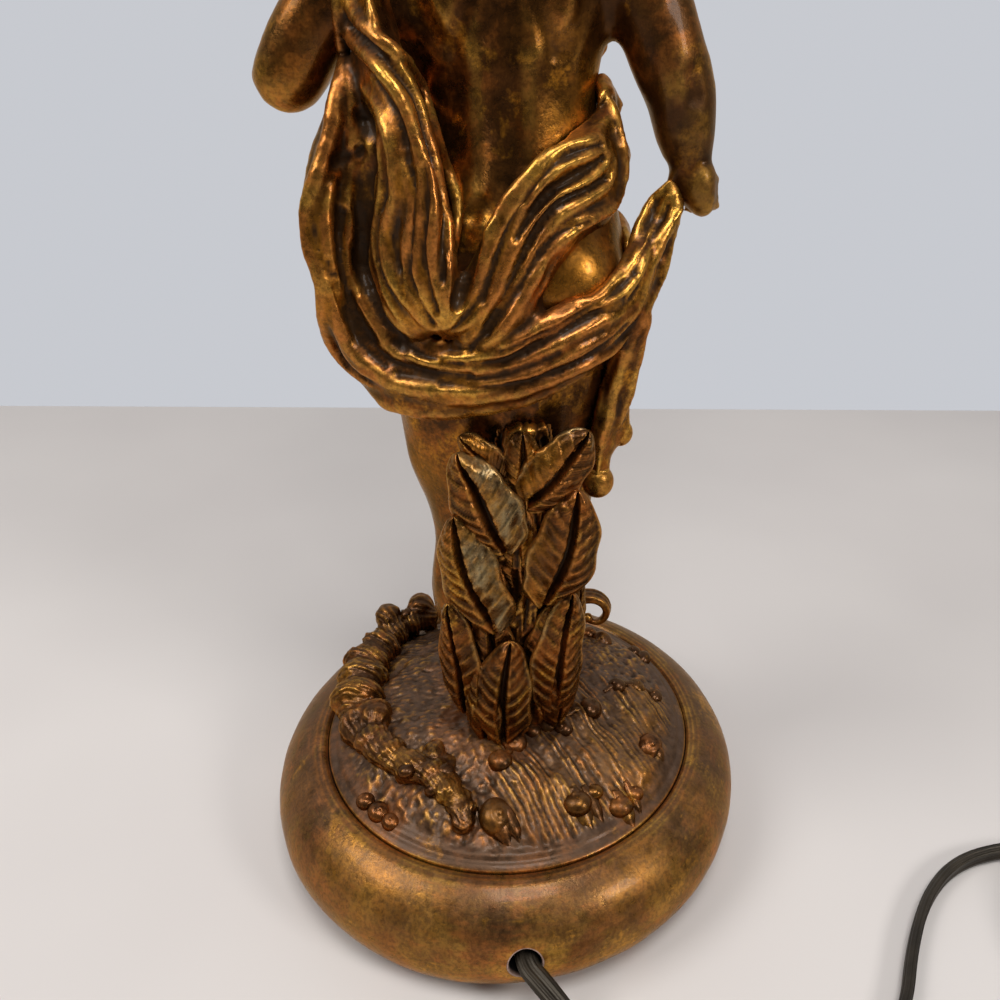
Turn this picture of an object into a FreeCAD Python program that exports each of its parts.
# A figural table lamp, in millimetres, +Z up, origin under the middle of the round base.
# A draped standing figure in bronze finish faces +Y on a domed, turned base. A threaded
# pipe runs up through base, figure and head, clamps them together and carries the brass
# neck, the switched socket, the shade gallery and a glass shade. The mains lead leaves
# the back of the base, at -Y, lies in a loop on the table and ends in a coil and a plug.
import FreeCAD
import Part
import math
import os
from FreeCAD import Vector

os.makedirs("parts", exist_ok=True)

UP = Vector(0, 0, 1)
AXIS_FOOT = Vector(0, 0, 0)

# ---------------------------------------------------------------- driving dimensions
# base
felt_thickness = 1.2
felt_inset = 2.0            # the felt stops this far inside the plinth's foot
cover_thickness = 1.5
cover_gap = 0.2             # between the cover board and its rebate
plinth_bulge_radius = 82.5
plinth_bulge_height = 17.0
moulding_depth = 22.6       # half axes of the plinth's oval moulding
moulding_rise = 20.3
moulding_foot_angle = -51.0
moulding_shoulder_angle = 66.0
plinth_height = 36.0
plinth_wall = 4.5
flange_thickness = 3.0
flange_bore_radius = 44.0
ground_radius = 64.0        # the rim of the modelled ground
ground_rim_height = 3.0     # how far the rim stands over its seat
ground_rise = 14.0          # from the rim up to the flat under the figure
ground_flat_radius = 25.0
ground_wall = 5.0
boss_radius = 13.0
seat_gap = 0.3              # round the ground casting in the plinth
# pipe and its fixings
pipe_radius = 5.0
pipe_bore_radius = 3.6
pipe_clearance = 0.05
casting_bore_radius = 5.5
clamp_radius = 50.0
clamp_thickness = 2.0
washer_radius = 9.0
washer_thickness = 1.2
lock_washer_radius = 7.8
lock_washer_thickness = 0.8
nut_across_flats = 14.0
nut_height = 4.0
pipe_below_nut = 2.5
# figure
figure_height = 300.0
fold_overlap = 0.66         # a fold's radius, as a share of the space between folds
# brass and socket
cap_radius = 11.0
cap_height = 8.0
neck_height = 16.0
neck_radius = 8.2
neck_end_radius = 6.4
check_ring_radius = 10.0
check_ring_height = 2.0
socket_cap_radius = 17.2
socket_cap_height = 14.0
socket_shell_radius = 17.6
socket_shell_height = 38.0
socket_wall = 0.8
sleeve_wall = 0.7
socket_gap = 0.15
socket_body_height = 16.0
screw_shell_radius = 13.6
screw_shell_height = 18.0
screw_shell_wall = 0.5
contact_radius = 3.0
contact_height = 1.2
terminal_radius = 2.2
terminal_length = 2.4
knob_radius = 6.0
knob_length = 9.0
knob_reach = 10.0           # from the shell's side to the knob's inner face
spindle_radius = 1.8
spindle_clearance = 0.08
spindle_slot_gap = 0.6      # round the spindle in shell and sleeve
spindle_start = 6.0         # from the lamp's axis to the end of the spindle's bore
knob_angle = 25.0           # from +X towards +Y, in degrees
knob_height = 13.0          # over the shell's foot
set_screw_radius = 1.2
set_screw_length = 2.2
# gallery, shade and bulb
gallery_ring_radius = 29.8
gallery_wall = 1.2
gallery_ring_height = 11.0
gallery_cone_height = 6.0
gallery_drop = 8.0          # the gallery's sleeve reaches this far down the socket shell
shade_lip_radius = 28.8
shade_neck_radius = 26.8
shade_height = 112.0
shade_belly_radius = 55.0
shade_mouth_radius = 62.0
shade_wall = 2.4
screw_count = 3
screw_radius = 1.5
screw_head_radius = 3.8
screw_head_length = 5.0
screw_first_angle = 90.0
screw_tip_gap = 0.1
screw_clearance = 0.1
bulb_radius = 22.0
bulb_neck_radius = 13.0
bulb_height = 66.0
bulb_cap_radius = 12.8
bulb_cap_height = 17.0
# mains lead
cord_radius = 3.3
hole_radius = 5.5
hole_height = 19.0
hole_angle = 5.0            # from -Y towards +X, in degrees
lead_low_height = 7.5       # the lead's height under the pipe
lead_bend_radius = 11.0
tie_wall = 0.8
tie_width = 9.0
plug_length = 26.0
plug_width = 19.0
plug_thickness = 13.0
blade_length = 17.0
blade_width = 6.35
blade_thickness = 1.5
blade_spacing = 12.7
plug_lead_length = 42.0
coil_x = 216.0
coil_y = -80.0
coil_start_angle = 90.0     # the coil begins at its +Y side and winds clockwise
coil_half_turns = 3.25      # turns in each of the two layers
coil_pitch = 7.1            # from one turn to the next, and from layer to layer
coil_inner_radius = 25.0
coil_lift = 1.0             # the tie's strap runs under the turns
coil_end_length = 6.6
bushing_inner = 76.0        # distances of the bushing's ends from the lamp's axis
bushing_outer = 81.5
bushing_wall = 0.7          # the lead bends inside the bushing, so the bushing is a thin lining
lead_joint = 75.5           # from the axis to where the inner lead becomes the free lead
tie_play = 0.5
tie_angle = -20.0

# ---------------------------------------------------------------- heights that follow
plinth_foot = felt_thickness
cover_top = plinth_foot + cover_thickness
seat_height = plinth_height - ground_rim_height
plinth_foot_radius = plinth_bulge_radius - moulding_depth * (1 - math.cos(math.radians(moulding_foot_angle)))
flange_under = seat_height - flange_thickness
clamp_under = flange_under - clamp_thickness
washer_under = clamp_under - washer_thickness
lock_washer_under = washer_under - lock_washer_thickness
nut_under = lock_washer_under - nut_height
pipe_foot = nut_under - pipe_below_nut
ground_top = plinth_height + ground_rise
figure_scale = figure_height / 300.0
head_cut = 297.0 * figure_scale + ground_top
cap_top = head_cut + cap_height
neck_top = cap_top + neck_height
ring_top = neck_top + check_ring_height
socket_cap_top = ring_top + socket_cap_height
shell_foot = socket_cap_top - 2.5
shell_top = shell_foot + socket_shell_height
knob_z = shell_foot + knob_height
gallery_floor = shell_top - gallery_drop
gallery_seat = gallery_floor + gallery_cone_height
gallery_top = gallery_seat + gallery_ring_height
screw_z = gallery_seat + 0.6 * gallery_ring_height
tap_radius = pipe_radius + pipe_clearance
pipe_top = ring_top + 7.0
socket_body_foot = shell_foot + 4.0
socket_body_top = socket_body_foot + socket_body_height


# ---------------------------------------------------------------- small helpers
def fig(x, y, z):
    """A point of the figure, modelled 300 mm tall, z over its feet."""
    return Vector(x * figure_scale, y * figure_scale, ground_top + z * figure_scale)


def save(name, shape):
    """Writes one sub-part and prints its number of solids, its volume and validity."""
    solids = shape.Solids
    shape = solids[0] if len(solids) == 1 else Part.makeCompound(solids)
    print(f"{name:20s} solids {len(solids):2d}  volume {shape.Volume:10.1f}  valid {shape.isValid()}")
    shape.exportStep(f"parts/{name}.step")


def turned(*steps):
    """A solid of revolution about Z. A step is (r, z), or (r, z, mid_r, mid_z) for an arc."""
    edges = []
    here = Vector(steps[0][0], 0, steps[0][1])
    for step in list(steps[1:]) + [steps[0][:2]]:
        there = Vector(step[0], 0, step[1])
        if there.isEqual(here, 1e-7):
            continue
        if len(step) == 4:
            middle = Vector(step[2], 0, step[3])
            edges.append(Part.Arc(here, middle, there).toShape())
        else:
            edges.append(Part.LineSegment(here, there).toShape())
        here = there
    return Part.Face(Part.Wire(edges)).revolve(AXIS_FOOT, UP, 360)


def tube(outer, inner, low, high):
    """A plain ring about Z."""
    return turned((inner, low), (outer, low), (outer, high), (inner, high))


def ellipse(centre, half_x, half_y):
    """A level ellipse, as a wire that always starts at the same side."""
    points = []
    for k in range(16):
        a = 2 * math.pi * k / 16
        points.append(centre + Vector(half_x * math.cos(a), half_y * math.sin(a), 0))
    curve = Part.BSplineCurve()
    curve.interpolate(points, PeriodicFlag=True)
    return Part.Wire(curve.toShape())


def stack(sections):
    """A body through level ellipses, each (z, x, y, half width, half depth) on the figure."""
    wires = []
    for z, x, y, half_x, half_y in sections:
        wires.append(ellipse(fig(x, y, z), half_x * figure_scale, half_y * figure_scale))
    return Part.makeLoft(wires, True, False)


def direction_at(points, i):
    """The way a row of points runs at point i."""
    before = points[max(i - 1, 0)]
    after = points[min(i + 1, len(points) - 1)]
    return (after - before).normalize()


def limb(points, radii):
    """A round limb through points, square to its own line and without a twist."""
    wires = []
    turn = FreeCAD.Rotation(UP, direction_at(points, 0))
    for i, centre in enumerate(points):
        here = turn.multVec(UP)
        way = direction_at(points, i)
        if here.getAngle(way) > 1e-4:
            turn = FreeCAD.Rotation(here, way).multiply(turn)
        ring = []
        for k in range(7):
            a = math.radians(60 * k)
            ring.append(centre + turn.multVec(Vector(math.cos(a), math.sin(a), 0)) * radii[i])
        arcs = [Part.Arc(ring[k], ring[k + 1], ring[k + 2]).toShape() for k in (0, 2, 4)]
        wires.append(Part.Wire(arcs))
    return Part.makeLoft(wires, True, False)


def ball(centre, radius):
    """A ball of the figure's own scale."""
    return Part.makeSphere(radius * figure_scale, centre)


def fold_bundle(points, widths, folds):
    """A swath of cloth about the figure's axis: round folds side by side that run into each other."""
    tubes = []
    for k in range(folds):
        share = (k + 0.5) / folds - 0.5
        line = []
        for i, centre in enumerate(points):
            along = direction_at(points, i)
            out = Vector(centre.x, centre.y, 0)
            side = along.cross(out - along * out.dot(along)).normalize()
            line.append(centre + side * (share * widths[i]))
        tubes.append(limb(line, [fold_overlap * width / folds for width in widths]))
    return tubes[0].fuse(tubes[1:])


def without(shape, *others):
    """The shape less the others, its largest solids only."""
    for other in others:
        shape = shape.cut(other)
    solids = sorted(shape.Solids, key=lambda s: -s.Volume)
    kept = [s for s in solids if s.Volume > 0.02 * solids[0].Volume]
    return kept[0] if len(kept) == 1 else Part.makeCompound(kept)


def pipe_hole(low, high):
    """The drilling for the pipe through a casting."""
    return Part.makeCylinder(casting_bore_radius, high - low, Vector(0, 0, low))


# ---------------------------------------------------------------- base
def moulding(angle, inset=0.0):
    """A point (r, z) on the plinth's oval moulding, or that far inside it."""
    a = math.radians(angle)
    return (plinth_bulge_radius - moulding_depth + (moulding_depth - inset) * math.cos(a),
            plinth_bulge_height + (moulding_rise - inset) * math.sin(a))


def make_plinth():
    """The turned ring: a fat oval moulding with a flange that the ground casting sits on."""
    wall = plinth_wall
    rim = ground_radius + seat_gap
    foot = (plinth_foot_radius, plinth_foot)
    board = plinth_foot_radius - plinth_wall - 1.0
    body = turned(
        (board, plinth_foot),
        foot,
        moulding(0) + moulding(0.5 * moulding_foot_angle),
        moulding(35) + moulding(18),
        moulding(moulding_shoulder_angle) + moulding(50),
        (rim, plinth_height - 1.4),
        (rim, seat_height),
        (flange_bore_radius, seat_height),
        (flange_bore_radius, flange_under),
        (rim - 2.0, flange_under),
        moulding(25, wall) + moulding(40, wall),
        moulding(-15, wall) + moulding(5, wall),
        (board - 3.0, cover_top),
        (board, cover_top),
    )
    return body.cut(lead_hole())


def exit_direction():
    """The level direction in which the lead leaves the base."""
    a = math.radians(hole_angle)
    return Vector(math.sin(a), -math.cos(a), 0)


def exit_point(radius):
    """A point on the hole's axis, at that distance from the lamp's axis."""
    return exit_direction() * radius + Vector(0, 0, hole_height)


def lead_hole():
    """The round hole in the plinth's back for the lead."""
    return Part.makeCylinder(hole_radius, 30, exit_point(plinth_bulge_radius - 20), exit_direction())


def make_cover():
    """The board that closes the base from below."""
    radius = plinth_foot_radius - plinth_wall - 1.0 - cover_gap
    return turned((0, plinth_foot), (radius, plinth_foot), (radius, cover_top), (0, cover_top))


def make_felt():
    """The felt pad that the lamp stands on."""
    radius = plinth_foot_radius - felt_inset
    return turned((0, 0), (radius, 0), (radius, felt_thickness), (0, felt_thickness))


def ground_shape():
    """The modelled ground as a full solid, without its hollow."""
    top = ground_top
    rim = ground_radius
    return turned(
        (0, seat_height),
        (rim, seat_height),
        (rim, plinth_height - 1.0),
        (rim - 2.5, plinth_height + 0.8, rim - 0.6, plinth_height + 0.4),
        (ground_flat_radius, top, 0.5 * (rim + ground_flat_radius) + 3.0, top - 0.36 * ground_rise),
        (0, top),
    )


def make_ground():
    """The domed ground casting, hollow below, with a boss for the pipe."""
    wall = ground_wall
    hollow = turned(
        (boss_radius, seat_height - 1.0),
        (ground_radius - wall, seat_height - 1.0),
        (ground_radius - wall - 1.0, seat_height + 1.5),
        (ground_flat_radius, ground_top - wall,
         0.5 * (ground_radius + ground_flat_radius) - 1.0, ground_top - wall - 0.42 * ground_rise),
        (boss_radius, ground_top - wall),
    )
    boss = turned((0, flange_under), (boss_radius, flange_under),
                  (boss_radius, seat_height + 2.0), (0, seat_height + 2.0))
    body = ground_shape().cut(hollow).fuse(boss).removeSplitter()
    return body.cut(pipe_hole(flange_under - 1, ground_top + 1))


def on_ground(x, y, sink=0.0):
    """A point on the modelled ground, or that far below its surface."""
    probe = Part.LineSegment(Vector(x, y, ground_top + 30), Vector(x, y, seat_height)).toShape()
    hits = [v.Point.z for v in ground_shape().common(probe).Vertexes]
    return Vector(x, y, max(hits) - sink)


# the vine that runs round the left of the ground: (x, y, radius, height over the ground) of each lump
VINE = [(-34, 47, 4.4, 8), (-41.5, 44, 4.6, 8.5), (-48.5, 38, 5.2, 8), (-53, 29, 5.6, 6.5), (-55.5, 19, 6.2, 5),
        (-56.5, 8, 6.6, 4.5), (-55, -3, 6.6, 4.5), (-51.5, -13, 6.4, 4), (-46.5, -22, 6.2, 4),
        (-40, -30.5, 6.0, 3.5), (-32.5, -38, 5.8, 3), (-24.5, -44, 5.2, 2.5), (-17, -48, 4.6, 2),
        (-10.5, -50.5, 3.8, 1.5)]
# single berries and small bunches on the ground: (x, y, radius)
BERRIES = [(-2.9, -35.5, 4.2), (3.2, -28.5, 3.6), (-3.6, -49.3, 4.0), (4.0, -44.5, 2.8), (13.5, -25.5, 3.4),
           (23, -17, 3.8), (29.5, -12.5, 3.4), (38.7, 1.8, 3.2), (46, 7, 2.8), (53.5, 12, 2.6),
           (48.9, -16.3, 3.4), (22.3, -43.7, 3.8), (29, -45, 3.0), (37.2, -39.3, 3.4), (-57, -25, 2.8),
           (-40.5, -42, 3.4), (-49, -33, 3.0), (36, 34, 3.4), (10, 52, 3.6), (-8, 55, 4.0), (52, 30, 3.0)]


def make_vine():
    """The thick, lumpy vine: overlapping lumps on a core, and a root down from the raised ones."""
    centres = []
    shapes = []
    for x, y, radius, height in VINE:
        centre = on_ground(x, y, -height)
        centres.append(centre)
        shapes.append(Part.makeSphere(radius, centre))
        if height > radius:
            shapes.append(Part.makeSphere(radius, centre - UP * radius))
    core = limb(centres, [0.7 * row[2] for row in VINE])
    return without(core.fuse(shapes), ground_shape(), plinth_block())


def plinth_block():
    """The plinth's outer form above its seat, to keep growth on the ground off it."""
    return turned((ground_radius + seat_gap, seat_height), (plinth_bulge_radius, seat_height),
                  (plinth_bulge_radius, plinth_height), (ground_radius + seat_gap, plinth_height))


def make_berries(*neighbours):
    """The loose berries, half sunk, as separate solids, each cut where it meets a neighbour."""
    around = [ground_shape()] + list(neighbours)
    solids = []
    for x, y, radius in BERRIES:
        berry = without(Part.makeSphere(radius, on_ground(x, y, 0.1 * radius)), *around)
        solids.append(berry)
        around.append(berry)
    return Part.makeCompound(solids)


def make_frond():
    """The curled frond at the back right: it rises from the ground, arches over and curls down."""
    centre = Vector(32, 40, ground_top + 3.5)
    points = [on_ground(22.5, 37, 2.0)]
    radii = [3.6]
    for k in range(8):
        turn = math.radians(185 - 34 * k)
        reach = 9.4 - 0.5 * k
        points.append(centre + Vector(math.cos(turn) * reach, 0, math.sin(turn) * reach))
        radii.append(3.3 - 0.1 * k)
    return without(limb(points, radii), ground_shape())


# ---------------------------------------------------------------- figure
# level sections: height over the feet, centre x and y, half width, half depth
BODY = [(0, 1.5, 4, 20, 15), (14, 1.2, 4.5, 19, 14.5), (40, 0.5, 4.5, 21.5, 16.5), (60, 0.5, 4, 24, 18),
        (76, 0.5, 3, 26.5, 19.5), (95, -0.5, 2, 29.5, 21.5), (112, -1, 1, 32, 23), (130, 0, 0, 33, 24.5),
        (150, 0.5, -1, 33.5, 25), (166, 0.5, -1, 31, 22.5), (180, 0.5, 0, 26.5, 18), (193, 0, 0, 24, 16),
        (208, 0, 0, 25, 16.5), (222, 0, 0.5, 28, 17.5), (235, 0, 0.5, 30.5, 16.5), (243, 0, 0, 27, 14),
        (249, 0, 0, 18, 11.5), (255, 0, 0.5, 11.5, 10.5), (266, 0, 1.5, 9.8, 10)]
HEAD = [(259, 0, 7, 5, 6), (263, 0, 5, 8.8, 10.5), (270, 0, 3, 11.8, 14.8), (280, 0, 1.5, 14, 17.4),
        (290, 0, 0.5, 13.4, 16.4), (297, 0, 0, 10.6, 12.6)]
BUN = (0, -17, 284, 9.5)
SHOULDER_R = [(25, -1, 238), (32, -2, 229), (38, -3, 217), (44.5, -4, 202), (49, -4, 190), (50.8, -3.5, 180)]
SHOULDER_R_RADII = [9.5, 10.9, 11.0, 10.4, 8.6, 6.0]
UPPER_L = [(-25, 0, 238), (-33, 0, 230), (-43, -1, 218), (-51.5, -2, 206), (-55, -2, 200)]
UPPER_L_RADII = [9.5, 10.2, 9.9, 9.4, 8.9]
FORE_L = [(-55.5, -1, 200), (-53.5, 8, 204), (-49, 18, 213), (-42, 26, 225)]
FORE_L_RADII = [8.8, 8.8, 7.6, 5.4]
HAND_R = [(51, -3.5, 180), (51.8, -3.5, 174), (52.2, -4, 168), (51.6, -5, 164)]
HAND_R_RADII = [5.6, 6.4, 6.0, 3.8]
HAND_L = [(-42.5, 25.4, 224), (-38, 28, 230), (-32, 28.5, 234), (-27, 27, 236)]
HAND_L_RADII = [5.5, 6.2, 5.4, 3.6]


def points_of(rows):
    """Rows of figure coordinates as points."""
    return [fig(*row) for row in rows]


def figure_limb(rows, radii):
    """A round limb given in the figure's own coordinates."""
    return limb(points_of(rows), [radius * figure_scale for radius in radii])


def make_body():
    """Legs, hips and torso as one casting with the drilling for the pipe."""
    return stack(BODY)


def make_head():
    """The head and its knot of hair, cut flat on top for the brass cap."""
    skull = stack(HEAD)
    x, y, z, radius = BUN
    return skull.fuse(ball(fig(x, y, z), radius))


def make_right_arm():
    """The lowered arm and its closed hand."""
    arm = figure_limb(SHOULDER_R, SHOULDER_R_RADII)
    hand = figure_limb(HAND_R, HAND_R_RADII)
    return arm.fuse(hand)


def make_left_arm():
    """The bent arm, its hand at the breast."""
    upper = figure_limb(UPPER_L, UPPER_L_RADII)
    elbow = ball(fig(-55.3, -1.6, 200), 9.3)
    fore = figure_limb(FORE_L, FORE_L_RADII)
    hand = figure_limb(HAND_L, HAND_L_RADII)
    return upper.fuse([elbow, fore, hand])


# swaths of cloth: name, number of folds, and rows of figure coordinates with the swath's width
CLOTHS = [
    ("shoulder_shawl", 4, [(-20, 1, 245, 14), (-24, -8, 238, 16), (-29.5, -14, 222, 19), (-30, -16, 207, 21),
                           (-27.5, -18, 195, 25), (-26, -20.5, 182, 29), (-24, -24, 168, 29),
                           (-22, -28, 154, 26), (-18, -30, 141, 18)]),
    ("side_drape", 3, [(-35, -5, 202, 12), (-42.5, -5.5, 189, 18), (-46.5, -6.5, 176, 22), (-47.5, -7.5, 162, 24),
                       (-46, -8.5, 148, 24), (-42.5, -10.5, 136, 22), (-37, -14, 128, 18)]),
    ("lower_swag", 4, [(-43, -10, 133, 16), (-32.5, -20, 127, 20), (-19.7, -26, 127, 21), (-6, -29, 129.5, 21),
                       (7, -29.5, 133.5, 21), (20, -26, 139, 20), (30.6, -18, 146, 18), (37, -12, 155, 14),
                       (43.5, -8, 164.5, 10), (49.5, -6, 170, 7)]),
    ("hip_sash", 4, [(28, 3, 196, 13), (27.5, -10, 188, 19), (21.5, -19, 179, 24), (13, -24.5, 171, 24),
                     (5, -28, 160, 22), (-2.5, -30.5, 149, 18), (-10, -31.5, 140, 12)]),
    ("drape_tail", 2, [(39, -10, 150, 11), (36, -10, 136, 10), (33.5, -10, 121, 9), (30.5, -10.5, 106, 8),
                       (28.4, -11, 94, 6)]),
    ("bodice_wrap", 3, [(-19, 7, 243, 14), (-14, 14, 234, 20), (-3, 17, 223, 25), (10, 15.5, 212, 25),
                        (22, 8, 202, 20)]),
    ("front_swag", 4, [(-36, 8, 126, 22), (-24, 20, 119, 28), (-4, 25, 117, 32), (17, 22, 126, 32),
                       (31, 10, 143, 28), (31, 3, 164, 18)]),
    ("skirt_fall", 3, [(8, 24, 106, 22), (8, 22, 80, 22), (7, 18, 50, 20), (7, 17, 20, 20), (8, 19, 2, 24)]),
]


def make_cloth(folds, rows):
    """One swath of cloth on the figure, kept off the ground."""
    points = [fig(x, y, z) for x, y, z, width in rows]
    return fold_bundle(points, [row[3] * figure_scale for row in rows], folds).cut(ground_shape())


def make_tassels():
    """The weighted ends of the hanging tail: one on the tail, one on a cord of its own beside it."""
    cord = limb(points_of([(36, -8.5, 130), (35.3, -7, 117), (34, -6.5, 104)]), [2.6, 2.0, 2.2])
    return [ball(fig(27.6, -11.5, 89.5), 4.8), ball(fig(34, -6.5, 103.5), 3.9), cord]


# ---------------------------------------------------------------- leaves behind the legs
# the stump that carries the leaves
TRUNK = [(0, 2, -10, 17, 11.5), (20, 2.5, -11, 15.5, 11), (50, 2.5, -12, 14, 11), (80, 3, -14.5, 13, 11),
         (100, 4, -17, 10, 9), (114, 5, -18.5, 8, 6)]
# each leaf: foot and tip on the figure, greatest width
LEAVES = [
    ((5, -26, 82), (-13, -25, 107), 15), ((-2, -24, 46), (-14.5, -25, 86), 17), ((7, -24, 50), (21, -25, 94), 17),
    ((4, -26, 88), (23, -26, 113), 14), ((-2, -27, 84), (-6, -28, 106), 11), ((10, -23, 40), (20, -23, 60), 13),
    ((-11, -20, 14), (-17.5, -22, 53), 13), ((3, -22, 10), (3, -25, 45), 16), ((-6, -21, 0), (-8, -23, 26), 12),
    ((14, -19, 2), (16.5, -22, 38), 13),
]


def make_leaf(foot, tip, width):
    """A folded leaf: lens-shaped sections along a bowed midrib."""
    start = fig(*foot)
    end = fig(*tip)
    run = end - start
    along = Vector(run).normalize()
    out = Vector(0, -1, 0)
    out = (out - along * out.dot(along)).normalize()
    side = along.cross(out)
    shares = (0.10, 0.55, 0.98, 1.0, 0.72, 0.10)
    wires = []
    for k, share in enumerate(shares):
        t = k / (len(shares) - 1)
        half = 0.5 * width * share * figure_scale
        lift = 3.0 * math.sin(math.pi * t) * figure_scale
        centre = start + run * t + out * lift
        left = centre - side * half
        right = centre + side * half
        front = centre + out * (1.2 + 1.3 * share) * figure_scale
        back = centre - out * 2.6 * figure_scale
        edges = [Part.Arc(left, front, right).toShape(), Part.Arc(right, back, left).toShape()]
        wires.append(Part.Wire(edges))
    return Part.makeLoft(wires, True, False)


def make_leaf_trunk():
    """The stump and its leaves as one casting, cut off at the ground."""
    leaves = [make_leaf(foot, tip, width) for foot, tip, width in LEAVES]
    return stack(TRUNK).fuse(leaves).cut(ground_shape())


# ---------------------------------------------------------------- pipe and its fixings
def make_nut():
    """The hexagon nut under the clamp disc."""
    corner = 0.5 * nut_across_flats / math.cos(math.radians(30))
    corners = []
    for k in range(7):
        a = math.radians(60 * k)
        corners.append(Vector(corner * math.cos(a), corner * math.sin(a), nut_under))
    block = Part.Face(Part.makePolygon(corners)).extrude(UP * nut_height)
    return block.cut(Part.makeCylinder(tap_radius, nut_height, Vector(0, 0, nut_under)))


# ---------------------------------------------------------------- brass and socket
def make_head_cap():
    """The turned brass cap on the head."""
    return turned((tap_radius, head_cut), (cap_radius, head_cut), (cap_radius, head_cut + 1.6),
                  (neck_end_radius, cap_top, 0.62 * cap_radius, head_cut + 0.4 * cap_height),
                  (tap_radius, cap_top))


def make_neck():
    """The turned brass spacer."""
    middle = 0.5 * (cap_top + neck_top)
    return turned((tap_radius, cap_top), (neck_end_radius, cap_top),
                  (neck_end_radius, neck_top, neck_radius, middle), (tap_radius, neck_top))


def make_socket_cap():
    """The domed lower cap of the socket, threaded on the pipe."""
    wall = socket_wall
    outer = socket_cap_radius
    return turned((tap_radius, ring_top), (8.0, ring_top), (8.0, ring_top + 3.0),
                  (outer, socket_cap_top - 4.0, 0.80 * outer, ring_top + 4.6), (outer, socket_cap_top),
                  (outer - wall, socket_cap_top), (outer - wall, socket_cap_top - 3.8),
                  (tap_radius + 2.0, ring_top + 5.0, 0.76 * outer, ring_top + 6.4),
                  (tap_radius + 2.0, ring_top + 7.0), (tap_radius, ring_top + 7.0)).cut(set_screw_hole())


def set_screw_line():
    """Where the socket's set screw sits: start and direction."""
    return Vector(0, -8.0, ring_top + 1.5), Vector(0, 1, 0)


def set_screw_hole():
    """The tapped hole for the set screw."""
    start, along = set_screw_line()
    return Part.makeCylinder(set_screw_radius + 0.05, 4.0, start - along, along)


def make_set_screw():
    """The small screw that locks the socket to the pipe."""
    start, along = set_screw_line()
    return Part.makeCylinder(set_screw_radius, set_screw_length, start, along)


def knob_direction():
    """The level direction in which the switch key points."""
    a = math.radians(knob_angle)
    return Vector(math.cos(a), math.sin(a), 0)


def key_slot():
    """The way for the switch spindle through shell and sleeve."""
    start = Vector(0, 0, knob_z) + knob_direction() * (screw_shell_radius - 2)
    return Part.makeCylinder(spindle_radius + spindle_slot_gap, socket_shell_radius, start, knob_direction())


def make_socket_shell():
    """The brass shell that snaps into the cap."""
    outer = socket_shell_radius
    lower = socket_cap_radius - socket_wall - socket_gap
    wall = socket_wall
    body = turned((lower - wall, shell_foot), (lower, shell_foot), (lower, socket_cap_top + 0.6),
                  (outer, socket_cap_top + 1.4), (outer, shell_top), (outer - wall, shell_top),
                  (outer - wall, socket_cap_top + 1.8), (lower - wall, socket_cap_top + 0.9))
    return body.cut(key_slot())


def make_sleeve():
    """The fibre insulating sleeve inside the shell."""
    outer = socket_cap_radius - 2 * socket_wall - 2 * socket_gap
    return tube(outer, outer - sleeve_wall, shell_foot + 0.5, shell_top - 1.5).cut(key_slot())


def make_socket_body():
    """The moulded switch body inside the sleeve, bored for the spindle."""
    outer = socket_cap_radius - 2 * socket_wall - sleeve_wall - 3 * socket_gap
    body = turned((0, socket_body_foot), (outer - 2, socket_body_foot), (outer, socket_body_foot + 2),
                  (outer, socket_body_top), (0, socket_body_top))
    start = Vector(0, 0, knob_z) + knob_direction() * spindle_start
    return body.cut(Part.makeCylinder(spindle_radius + spindle_clearance, 20, start, knob_direction()))


def make_screw_shell():
    """The threaded shell that takes the lamp, closed to the switch body."""
    outer = screw_shell_radius
    return tube(outer, outer - screw_shell_wall, socket_body_top, socket_body_top + screw_shell_height)


def make_contact():
    """The centre contact."""
    return turned((0, socket_body_top), (contact_radius, socket_body_top),
                  (0.6 * contact_radius, socket_body_top + contact_height),
                  (0, socket_body_top + contact_height))


def make_terminals():
    """The two terminal screws under the switch body."""
    solids = []
    for side in (-1, 1):
        centre = Vector(0, 8.0 * side, socket_body_foot - terminal_length)
        solids.append(Part.makeCylinder(terminal_radius, terminal_length, centre))
    return Part.makeCompound(solids)


def make_spindle():
    """The switch spindle, from the switch body to the knob."""
    inner = spindle_start + 0.1
    start = Vector(0, 0, knob_z) + knob_direction() * inner
    length = socket_shell_radius + knob_reach + 0.5 * knob_length - inner
    return Part.makeCylinder(spindle_radius, length, start, knob_direction())


def make_knob():
    """The ribbed turn knob, bored for its spindle."""
    ribs = 12
    face = Vector(0, 0, knob_z) + knob_direction() * (socket_shell_radius + knob_reach)
    body = Part.makeCylinder(knob_radius, knob_length, face, knob_direction())
    across = knob_direction().cross(UP)
    for k in range(ribs):
        a = 2 * math.pi * k / ribs
        groove = face + (across * math.cos(a) + UP * math.sin(a)) * (knob_radius + 0.35)
        body = body.cut(Part.makeCylinder(0.9, knob_length, groove, knob_direction()))
    return body.cut(Part.makeCylinder(spindle_radius, 0.5 * knob_length, face, knob_direction()))


# ---------------------------------------------------------------- gallery, shade and bulb
def screw_direction(k):
    """The level outward direction of thumbscrew k."""
    a = math.radians(screw_first_angle + 360.0 * k / screw_count)
    return Vector(math.cos(a), math.sin(a), 0)


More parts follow.
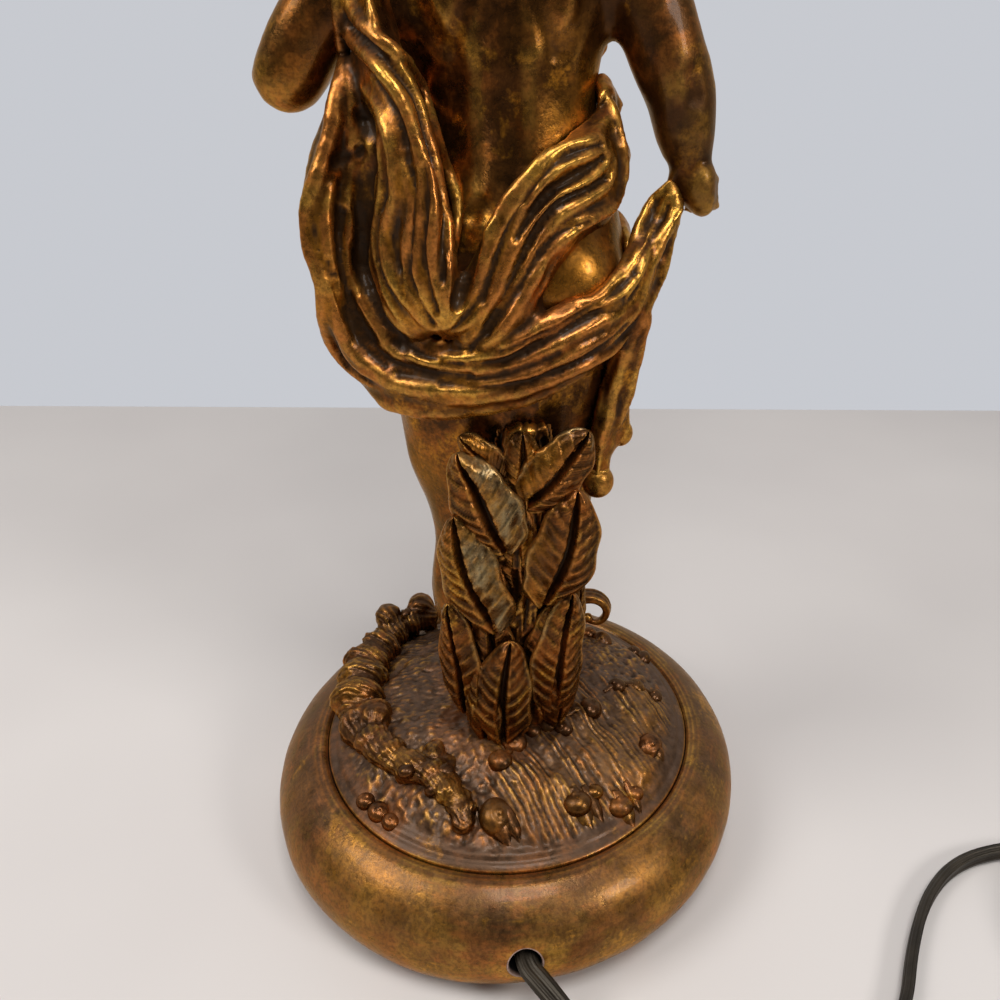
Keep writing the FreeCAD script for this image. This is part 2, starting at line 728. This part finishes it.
def make_gallery():
    """The spun brass cup that holds the shade, with three tapped holes."""
    wall = gallery_wall
    sleeve = socket_shell_radius + socket_gap
    ring = gallery_ring_radius
    body = turned((sleeve, gallery_floor), (sleeve + wall, gallery_floor),
                  (sleeve + wall + 0.6, gallery_floor + 2.0),
                  (ring + wall, gallery_seat - 1.0, ring - 3.0, gallery_floor + 2.4),
                  (ring + wall, gallery_top), (ring + wall + 0.9, gallery_top + 0.6),
                  (ring + wall, gallery_top + 1.2), (ring, gallery_top + 1.2), (ring, gallery_seat),
                  (sleeve + wall + 1.0, gallery_seat), (sleeve, gallery_floor + 3.6))
    for k in range(screw_count):
        out = screw_direction(k)
        start = out * (ring - 2) + UP * screw_z
        body = body.cut(Part.makeCylinder(screw_radius + screw_clearance, 6, start, out))
    return body


def make_thumbscrew(k):
    """One knurled thumbscrew that grips the shade's neck."""
    out = screw_direction(k)
    tip = out * (shade_neck_radius + screw_tip_gap) + UP * screw_z
    head_at = gallery_ring_radius + gallery_wall + 3.2
    shank = Part.makeCylinder(screw_radius, head_at - shade_neck_radius - screw_tip_gap + 1, tip, out)
    head = Part.makeCylinder(screw_head_radius, screw_head_length, out * head_at + UP * screw_z, out)
    return shank.fuse(head).removeSplitter()


def make_shade():
    """The glass shade: lip, neck, round belly and flared mouth."""
    low = gallery_seat + 0.2
    wall = shade_wall
    neck = shade_neck_radius
    belly = shade_belly_radius
    mouth = shade_mouth_radius
    top = low + shade_height
    belly_z = low + 0.52 * shade_height
    waist_z = low + 0.80 * shade_height
    waist = 0.93 * belly
    neck_z = gallery_top + 2.0
    return turned(
        (neck - wall, low), (shade_lip_radius, low), (shade_lip_radius, low + 2.0), (neck, low + 3.2),
        (neck, neck_z),
        (belly, belly_z, 0.5 * (neck + belly) + 6.0, 0.5 * (neck_z + belly_z) - 5.0),
        (waist, waist_z, belly + 0.4, 0.5 * (belly_z + waist_z)),
        (mouth, top, 0.5 * (waist + mouth) - 2.4, 0.5 * (waist_z + top) + 1.2),
        (mouth - wall, top + 0.8),
        (waist - wall, waist_z + 0.4, 0.5 * (waist + mouth) - 2.6 - wall, 0.5 * (waist_z + top) + 2.0),
        (belly - wall, belly_z, belly + 0.4 - wall, 0.5 * (belly_z + waist_z)),
        (neck - wall, neck_z + 0.6, 0.5 * (neck + belly) + 6.0 - wall, 0.5 * (neck_z + belly_z) - 4.0),
    )


def bulb_foot():
    """The height where the bulb's cap stands on the centre contact."""
    return socket_body_top + contact_height + 0.1


def make_bulb_cap():
    """The bulb's screw cap and its end contact."""
    low = bulb_foot()
    top = low + bulb_cap_height
    return turned((0, low), (3.0, low), (4.0, low + 1.6), (bulb_cap_radius, low + 3.2),
                  (bulb_cap_radius, top), (0, top))


def make_bulb_glass():
    """The bulb's glass envelope, as a closed form."""
    low = bulb_foot() + bulb_cap_height
    top = low + bulb_height
    centre = top - bulb_radius
    return turned((0, low), (bulb_neck_radius, low), (bulb_neck_radius, low + 8.0),
                  (bulb_radius, centre, bulb_radius - 3.2, centre - 12.0),
                  (0, top, bulb_radius * math.sqrt(0.5), centre + bulb_radius * math.sqrt(0.5)))


# ---------------------------------------------------------------- mains lead
def arc_from(start, along, end):
    """The arc that leaves start in that direction and ends at end."""
    chord = end - start
    unit = Vector(chord).normalize()
    off = along - unit * along.dot(unit)
    if off.Length < 1e-6:
        return Part.LineSegment(start, end).toShape()
    bend = math.atan2(off.Length, along.dot(unit))
    rise = 0.5 * chord.Length * math.tan(0.5 * bend)
    return Part.Arc(start, start + chord * 0.5 + off.normalize() * rise, end).toShape()


def biarc(start, start_way, end, end_way):
    """Two arcs that join two points and keep the given directions there."""
    v = end - start
    a = 2.0 * (1.0 - start_way.dot(end_way))
    b = 2.0 * v.dot(start_way + end_way)
    c = v.dot(v)
    reach = c / b if a < 1e-9 else (math.sqrt(b * b + 4 * a * c) - b) / (2 * a)
    joint = (start + start_way * reach + end - end_way * reach) * 0.5
    joint_way = (end - end_way * reach - start - start_way * reach).normalize()
    return [arc_from(start, start_way, joint), arc_from(joint, joint_way, end)]


def rounded_run(points):
    """Straight runs joined by tangent arcs, with the smallest arc radius printed."""
    edges = []
    radii = []
    here = points[0]
    for i in range(1, len(points) - 1):
        before = points[i] - points[i - 1]
        after = points[i + 1] - points[i]
        shorter = min(before.Length, after.Length)
        cut = 0.45 * shorter
        radii.append(round(cut / math.tan(0.5 * before.getAngle(after))))
        way_in = Vector(before).normalize()
        way_out = Vector(after).normalize()
        start = points[i] - way_in * cut
        end = points[i] + way_out * cut
        edges.append(Part.LineSegment(here, start).toShape())
        edges.append(arc_from(start, way_in, end))
        here = end
    edges.append(Part.LineSegment(here, points[-1]).toShape())
    print("  arc radii", radii)
    return edges


def swept(edges, start, along):
    """The lead's round tube along a path, its volume compared with section times length."""
    path = Part.Wire(edges)
    ring = Part.Wire(Part.makeCircle(cord_radius, start, along))
    solid = path.makePipeShell([ring], True, False)
    expected = math.pi * cord_radius * cord_radius * path.Length
    print(f"  tube length {path.Length:.0f}, volume over expected {solid.Volume / expected:.4f}")
    return solid


def coil_spiral(turn):
    """The coil's centreline after that many turns: in on the table, a step up, out on top."""
    middle = coil_half_turns
    radius = coil_inner_radius + coil_pitch * abs(turn - middle)
    share = min(1.0, max(0.0, (turn - middle + 0.25) / 0.5))
    height = cord_radius + coil_lift + coil_pitch * share * share * (3 - 2 * share)
    a = math.radians(coil_start_angle) - 2 * math.pi * turn
    return Vector(coil_x + radius * math.cos(a), coil_y + radius * math.sin(a), height)


def coil_way(turn):
    """The direction of the coil's centreline after that many turns, level at its ends."""
    step = 0.01
    way = coil_spiral(turn + step) - coil_spiral(turn - step)
    return way.normalize()


def coil_start():
    """Where the coil's straight end meets the free lead."""
    return coil_spiral(0) - coil_way(0) * coil_end_length


def coil_finish():
    """Where the coil's other straight end meets the plug's lead."""
    return coil_spiral(2 * coil_half_turns) + coil_way(2 * coil_half_turns) * coil_end_length


def make_coil():
    """The stored length: one unbroken tube in two layers of turns."""
    steps = round(2 * coil_half_turns * 4)
    edges = [Part.LineSegment(coil_start(), coil_spiral(0)).toShape()]
    for k in range(steps):
        here = 2 * coil_half_turns * k / steps
        there = 2 * coil_half_turns * (k + 1) / steps
        edges += biarc(coil_spiral(here), coil_way(here), coil_spiral(there), coil_way(there))
    edges.append(Part.LineSegment(coil_spiral(2 * coil_half_turns), coil_finish()).toShape())
    return swept(edges, coil_start(), coil_way(0))


def print_coil_gap():
    """Measures the coil's least gap to itself on points of its centreline."""
    per_turn = 72
    count = round(2 * coil_half_turns * per_turn)
    points = [coil_spiral(k / per_turn) for k in range(count + 1)]
    least = min((p - q).Length for i, p in enumerate(points) for q in points[i + per_turn // 3:])
    print(f"  coil's least gap to itself {least - 2 * cord_radius:.2f}")


def table(x, y, lift=0.0):
    """A point of the lead's centreline on the table."""
    return Vector(x, y, cord_radius + lift)


def free_route():
    """The lead's free stretch: out of the base, down, round in front and across to the coil."""
    last = coil_start()
    return [exit_point(lead_joint), exit_point(lead_joint + 6.0), Vector(11.8, -86, 18.2), Vector(19, -93, 15),
            Vector(29.5, -101, 9.4), table(44, -108, 1.6), table(62, -112.5), table(82, -111.5),
            table(101.5, -104), table(118.5, -88), table(129, -67), table(142, -48.5),
            table(159, -36, 0.2), table(182, -31.8, 0.9), last]


def plug_route():
    """The short stretch from the coil down to the plug."""
    way = coil_way(2 * coil_half_turns)
    start = coil_finish()
    back = plug_back()
    return [start, start + way * 9, back - plug_way() * 9, back]


def plug_way():
    """The level direction in which the plug points."""
    way = coil_way(2 * coil_half_turns)
    return Vector(way.x, way.y, 0).normalize()


def plug_back():
    """The middle of the plug's rear face."""
    end = coil_finish() + plug_way() * plug_lead_length
    return Vector(end.x, end.y, 0.5 * plug_thickness)


def make_lead(points):
    """A free stretch of the lead."""
    way = (points[1] - points[0]).normalize()
    return swept(rounded_run(points), points[0], way)


def make_inner_lead():
    """The lead inside the base, round under the pipe and up to the socket."""
    out = exit_direction()
    bend = lead_bend_radius
    low = UP * lead_low_height
    middle = out * (bend * (1 - math.sin(math.pi / 4))) + UP * (bend * (1 - math.cos(math.pi / 4)))
    edges = rounded_run([exit_point(lead_joint), exit_point(58), out * 34 + low, out * bend + low])
    edges.append(Part.Arc(out * bend + low, middle + low, low + UP * bend).toShape())
    edges.append(Part.LineSegment(low + UP * bend, UP * socket_body_foot).toShape())
    return swept(edges, exit_point(lead_joint), out * -1)


def make_bushing():
    """The thin bushing that lines the lead's hole."""
    out = exit_direction()
    length = bushing_outer - bushing_inner
    base = exit_point(bushing_inner)
    barrel = Part.makeCylinder(hole_radius, length, base, out)
    return barrel.cut(Part.makeCylinder(hole_radius - bushing_wall, length, base, out))


def make_tie():
    """The strap round the coil's turns."""
    first = ((coil_start_angle - tie_angle) % 360) / 360
    passes = [coil_spiral(first + k) for k in range(int(2 * coil_half_turns - first) + 1)]
    reaches = [math.hypot(p.x - coil_x, p.y - coil_y) for p in passes]
    inner = min(reaches) - cord_radius - tie_play
    outer = max(reaches) + cord_radius + tie_play
    top = coil_lift + 2 * cord_radius + coil_pitch + tie_play
    wall = tie_wall
    block = Part.makeBox(outer - inner + 2 * wall, tie_width, top + wall,
                         Vector(inner - wall, -0.5 * tie_width, 0))
    upper = [e for e in block.Edges if abs(e.Length - tie_width) < 1e-6 and e.CenterOfMass.z > wall]
    block = block.makeFillet(1.6 * wall, upper)
    block = block.cut(Part.makeBox(outer - inner, tie_width, top - wall, Vector(inner, -0.5 * tie_width, wall)))
    block.rotate(AXIS_FOOT, UP, tie_angle)
    block.translate(Vector(coil_x, coil_y, 0))
    return block


def plug_frame(shape):
    """Turns a shape made along +X with its rear at the origin to the plug's place."""
    way = plug_way()
    shape.rotate(AXIS_FOOT, UP, math.degrees(math.atan2(way.y, way.x)))
    shape.translate(plug_back())
    return shape


def make_plug():
    """The two-blade plug: a tapered grip, flat on both sides."""
    wires = []
    for share, wide, thick in ((0, 0.52, 0.70), (0.3, 0.62, 0.86), (0.62, 0.94, 1.0), (1, 1.0, 1.0)):
        x = plug_length * share
        y = 0.5 * plug_width * wide
        z = 0.5 * plug_thickness * thick
        corners = [Vector(x, y, z), Vector(x, -y, z), Vector(x, -y, -z), Vector(x, y, -z)]
        wires.append(Part.makePolygon(corners + [corners[0]]))
    return plug_frame(Part.makeLoft(wires, True, True))


def make_blades():
    """The plug's two flat blades, each with its hole."""
    solids = []
    for side in (-1, 1):
        blade = Part.makeBox(blade_length, blade_thickness, blade_width,
                             Vector(plug_length, side * 0.5 * blade_spacing - 0.5 * blade_thickness,
                                    -0.5 * blade_width))
        hole = Part.makeCylinder(1.6, plug_width, Vector(plug_length + 12, -0.5 * plug_width, 0), Vector(0, 1, 0))
        solids.append(plug_frame(blade.cut(hole)))
    return Part.makeCompound(solids)


# ---------------------------------------------------------------- the whole lamp
def build_base():
    """Plinth, ground, its growth, and what closes the base."""
    save("base_plinth", make_plinth())
    save("base_cover", make_cover())
    save("felt_pad", make_felt())
    save("cord_bushing", make_bushing())


def build_fixings():
    """Pipe, clamp disc, washers and nut."""
    save("lamp_pipe", tube(pipe_radius, pipe_bore_radius, pipe_foot, pipe_top))
    save("clamp_disc", tube(clamp_radius, tap_radius + 0.5, clamp_under, flange_under))
    save("flat_washer", tube(washer_radius, tap_radius + 0.2, washer_under, clamp_under))
    save("lock_washer", tube(lock_washer_radius, tap_radius + 0.2, lock_washer_under, washer_under))
    save("pipe_nut", make_nut())
    save("inner_lead", make_inner_lead())


def build_figure():
    """The figure, its drapery and the growth on the ground, each cut where it meets the last."""
    ground = make_ground()
    drilling = pipe_hole(ground_top - 1, head_cut + 1)
    body = make_body()
    save("ground_mound", ground)
    save("figure_body", body.cut(drilling))
    head = without(make_head(), body)
    save("figure_head", head.cut(drilling))
    right_arm = without(make_right_arm(), body)
    save("right_arm", right_arm)
    left_arm = without(make_left_arm(), body)
    save("left_arm", left_arm)
    done = [body, right_arm, left_arm]
    for name, folds, rows in CLOTHS:
        cloth = make_cloth(folds, rows)
        if name == "drape_tail":
            cloth = cloth.fuse(make_tassels())
        cloth = without(cloth, *done)
        save(name, cloth)
        done.append(cloth)
    trunk = without(make_leaf_trunk(), *done)
    save("leaf_spray", trunk)
    vine = without(make_vine(), body, trunk)
    save("vine_garland", vine)
    frond = without(make_frond(), body, trunk)
    save("scroll_frond", frond)
    save("grape_berries", make_berries(trunk, vine, frond, body))


def build_socket():
    """The brass on the head and the switched lampholder."""
    save("head_cap", make_head_cap())
    save("neck_spacer", make_neck())
    save("check_ring", tube(check_ring_radius, tap_radius, neck_top, ring_top))
    save("socket_cap", make_socket_cap())
    save("set_screw", make_set_screw())
    save("socket_shell", make_socket_shell())
    save("insulating_sleeve", make_sleeve())
    save("socket_body", make_socket_body())
    save("terminal_screws", make_terminals())
    save("screw_shell", make_screw_shell())
    save("centre_contact", make_contact())
    save("switch_spindle", make_spindle())
    save("switch_knob", make_knob())


def build_shade():
    """Gallery, thumbscrews, glass shade and bulb."""
    save("shade_gallery", make_gallery())
    for k in range(screw_count):
        save(f"thumbscrew_{k + 1}", make_thumbscrew(k))
    save("glass_shade", make_shade())
    save("bulb_cap", make_bulb_cap())
    save("bulb_glass", make_bulb_glass())


def build_lead():
    """The free lead, its coil, tie and plug."""
    save("power_cord", make_lead(free_route()))
    print_coil_gap()
    save("cord_coil", make_coil())
    save("coil_tie", make_tie())
    save("plug_lead", make_lead(plug_route()))
    save("plug_body", make_plug())
    save("plug_blades", make_blades())


build_base()
build_fixings()
build_figure()
build_socket()
build_shade()
build_lead()
